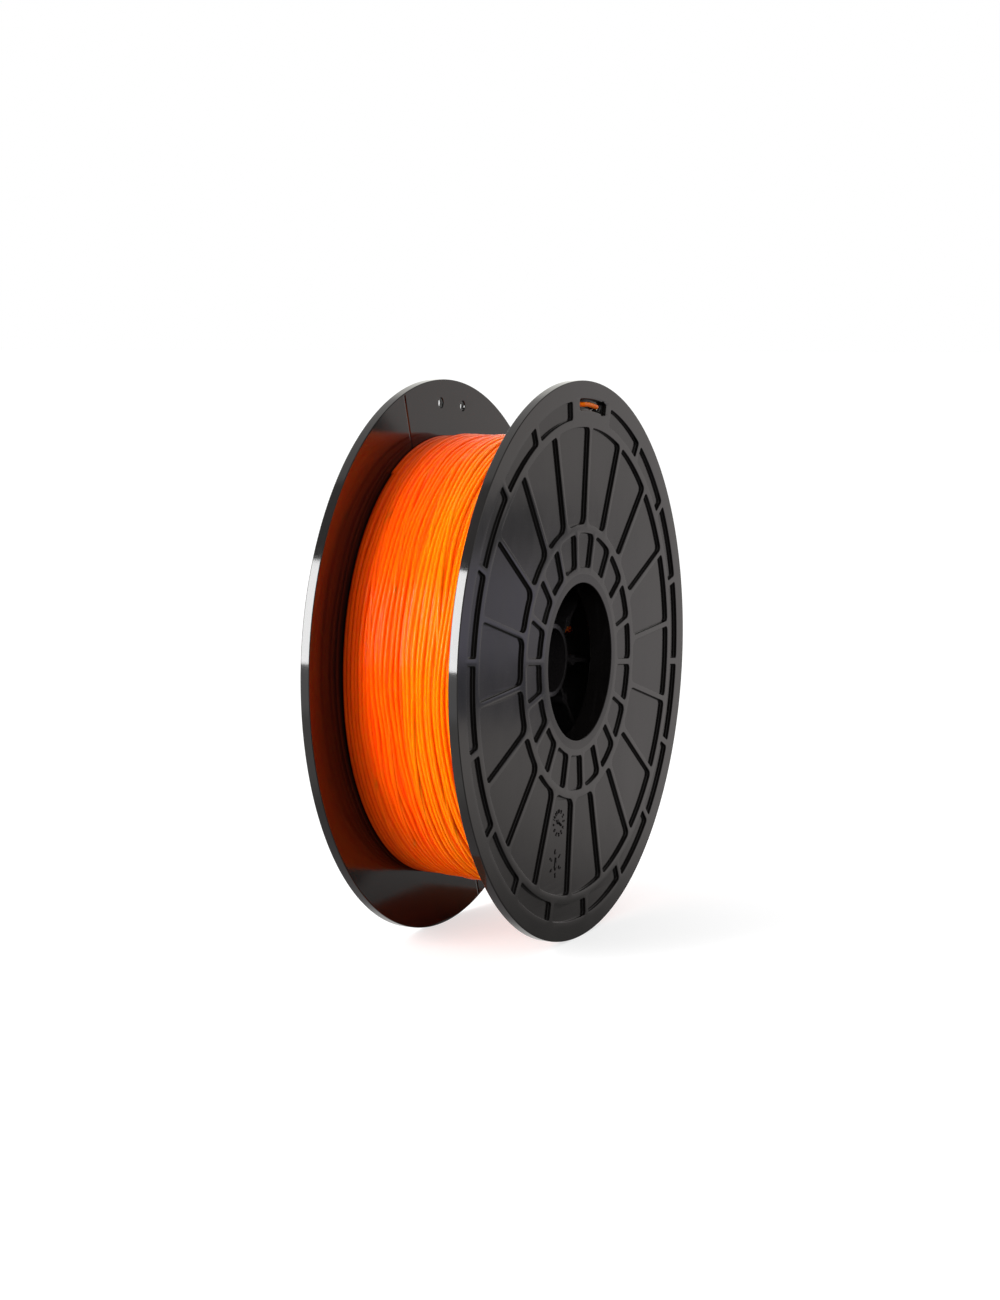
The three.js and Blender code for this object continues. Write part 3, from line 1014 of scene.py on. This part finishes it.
def soft_light(name, direction, distance, width, height, power):
    """An area light that faces the spool from a direction."""
    data = bpy.data.lights.new(name, "AREA")
    data.shape = "RECTANGLE"
    data.size = width
    data.size_y = height
    data.energy = power
    light = bpy.data.objects.new(name, data)
    away = Vector(direction).normalized()
    light.location = away * distance
    light.rotation_euler = away.to_track_quat("Z", "Y").to_euler()
    bpy.context.scene.collection.objects.link(light)
    return light


# The studio round the spool, as regions by direction: compass angles from +X towards +Y and heights
# above the horizon, both from and to in degrees, the softness of the edge, and the brightness there.
# What glossy plastic reflects: bright paper behind, a dark room in front, and a pale strip low on the right
REFLECTED = [
    (-12, 190, -90, 84, 14, (0.85, 0.84, 0.82)),
    (-5, 60, -8, 30, 10, (1.30, 1.29, 1.22)),
    (-30, 190, -90, -52, 14, (0.50, 0.48, 0.48)),
    (112, 190, -8, 80, 9, (0.32, 0.32, 0.32)),
    (136, 176, -14, 0, 6, (1.30, 1.30, 1.32)),
    (-135, -62, -70, -8, 10, (0.30, 0.30, 0.30)),
    (-122, -68, -8, 50, 10, (0.72, 0.71, 0.70)),
    (-56, -4, -80, 18, 8, (0.16, 0.155, 0.15)),
    (-40, -6, -8.4, 14, 4.4, (0.62, 0.58, 0.56)),
    (-22.8, -6, -9.2, 14, 3.4, (0.71, 0.67, 0.66)),
    (-40, -24.0, -4.4, -3.7, 0.5, (0.20, 0.20, 0.21)),
    (-40, -24.8, -7.0, -5.0, 0.4, (0.54, 0.52, 0.64)),
    (-40, -24.2, -7.9, -7.1, 0.4, (0.19, 0.19, 0.22)),
]
# What lights matt surfaces: the same room, brighter behind and above
FILL = [
    (-180, 180, 40, 90, 30, (1.0, 1.0, 1.0)),
    (20, 190, -50, 90, 40, (1.35, 1.35, 1.35)),
    (125, 190, -60, -4, 20, (2.3, 2.3, 2.3)),
    (-175, -95, -20, 50, 30, (0.55, 0.55, 0.55)),
]
ROOM_REFLECTED = (0.09, 0.09, 0.09)
ROOM_FILL = (0.28, 0.28, 0.28)


class Studio(Nodes):
    """Builds the world's nodes: what the spool reflects, what lights it, and white behind it."""

    def __init__(self, tree):
        super().__init__(tree)
        parts = self.node("SeparateXYZ", {0: self.node("TexCoord").outputs["Generated"]})
        self.height = self.degrees("ARCSINE", parts.outputs["Z"])
        self.compass = self.degrees("ARCTAN2", parts.outputs["Y"], parts.outputs["X"])

    def degrees(self, operation, *values):
        return self.math("MULTIPLY", self.math(operation, *values), 180 / math.pi)

    def ramp(self, value, start, end):
        """0 before start, 1 past end, with a smooth rise between; start may be the higher one."""
        inputs = {"Value": value, "From Min": start, "From Max": end}
        return self.node("MapRange", inputs, interpolation_type="SMOOTHSTEP").outputs["Result"]

    def inside(self, value, low, high, soft):
        """1 where a value lies between low and high, fading to 0 over soft on both sides."""
        rise = self.ramp(value, low - soft, low)
        fall = self.ramp(value, high + soft, high)
        return self.math("MULTIPLY", rise, fall)

    def surroundings(self, room, regions):
        color = room
        for left, right, low, high, soft, tone in regions:
            across = self.inside(self.compass, left, right, soft)
            share = self.math("MULTIPLY", across, self.inside(self.height, low, high, soft))
            color = self.blend(share, color, tone)
        return color

    def finish(self):
        rays = self.node("LightPath")
        color = self.surroundings(ROOM_FILL, FILL)
        mirrored = self.surroundings(ROOM_REFLECTED, REFLECTED)
        color = self.blend(rays.outputs["Is Glossy Ray"], color, mirrored)
        color = self.blend(rays.outputs["Is Camera Ray"], color, (1, 1, 1))
        self.feed(self.tree.nodes["Background"].inputs["Color"], color)


# Sizes of the stage, in metres
FLOOR_REACH = 30
FLOOR_GREY = [(0.40, 0.40, 0.40), (0.42, 0.42, 0.42)]
FLOOR_GLOW = 0.66
# The shaded floor between the flanges, which only glossy surfaces show: two opposite corners, its
# height above the floor, and its tones
SHADE_LOW = (-0.09, -0.012)
SHADE_HIGH = (0.06, 0.025)
SHADE_ABOVE = 0.0005
SHADE_TONES = [(0.34, 0.16, 0.09), (0.37, 0.17, 0.10)]


def stage_sheet(name, low, high, z, material):
    """A flat sheet below the spool, between two opposite corners."""
    mesh = bpy.data.meshes.new(name)
    corners = [(low[0], low[1], z), (high[0], low[1], z), (high[0], high[1], z), (low[0], high[1], z)]
    mesh.from_pydata(corners, [], [(0, 1, 2, 3)])
    mesh.materials.append(material)
    sheet = bpy.data.objects.new(name, mesh)
    sheet.visible_diffuse = False
    bpy.context.scene.collection.objects.link(sheet)
    return sheet


def make_studio():
    scene = bpy.context.scene
    world = bpy.data.worlds.new("studio")
    scene.world = world
    world.use_nodes = True
    Studio(world.node_tree).finish()
    scene.view_settings.view_transform = "Standard"
    soft_light("key_softbox", (-0.80, 0.4235, 0.30), distance=1.1, width=0.33, height=0.70, power=13.5)
    toward_camera = (-0.66, -0.60, 0.45)
    side = soft_light("camera_side_light", toward_camera, distance=1.3, width=0.35, height=0.35, power=2.4)
    side.visible_glossy = False
    reach = (FLOOR_REACH, FLOOR_REACH)
    white = paper("floor_paper", *FLOOR_GREY, FLOOR_GLOW)
    floor = stage_sheet("floor", (-FLOOR_REACH, -FLOOR_REACH), reach, -RIM_R * MM, white)
    floor.visible_glossy = False
    tones = paper("floor_shade", *SHADE_TONES)
    shade = stage_sheet("floor_shade", SHADE_LOW, SHADE_HIGH, SHADE_ABOVE - RIM_R * MM, tones)
    shade.visible_camera = False
    shade.visible_shadow = False


# ---------------------------------------- the spool
def settle(piece, slot, *nodes):
    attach(piece, "root")
    if nodes:
        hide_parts(*nodes)


def main():
    make_camera()
    make_studio()
    ribbed = black_plastic("black_plastic_ribbed", BLACK, gloss=0.08, grain=0.3)
    floors = black_plastic("black_plastic_floors", BLACK, gloss=0.10, grain=0.3, shine=0.35)
    polished = black_plastic("black_plastic_polished", INNER_BLACK, gloss=0.12, grain=0.1)
    # The spider's paler black is painted light inside the bore
    matt = black_plastic("black_plastic_matt_painted_light", HUB_BLACK_PAINTED_LIGHT, gloss=0.22, grain=0.5)
    orange = orange_filament("orange_filament", *ORANGE_AND_REAR_SHADE)
    # The layer below is darker and redder: painted shade in the partings
    gap_orange_and_shade = orange_filament("orange_filament_gap_shade", *GAP_ORANGE_AND_SHADE)

    finishes = [ribbed, polished, floors]
    front = Flange(FRONT_Y, FRONT_THICKNESS, 1).build("front_flange_disc", FRONT_TUCK, finishes)
    settle(front, "black_plastic", "front_flange")
    rear = Flange(REAR_Y, REAR_THICKNESS, -1).build("rear_flange_disc", REAR_TUCK, finishes)
    settle(rear, "black_plastic", "rear_flange")
    settle(make_drum(polished), "black_plastic", "hub_drum")
    settle(make_spider(matt), "black_plastic", "hub_spider")
    settle(make_dials(floors), "black_plastic")

    turns, start = outer_turns(orange)
    settle(turns, "orange_filament", "filament_winding")
    settle(inner_turns(gap_orange_and_shade), "orange_filament")
    tail = strand("filament_tail_end", tail_route(start), orange, (0, -1, 0))
    settle(tail, "orange_filament", "filament_tail")
    inner_end = strand("filament_hub_end", inner_end_route(), orange, (0, 1, 0))
    settle(inner_end, "orange_filament", "filament_inner_end")


main()
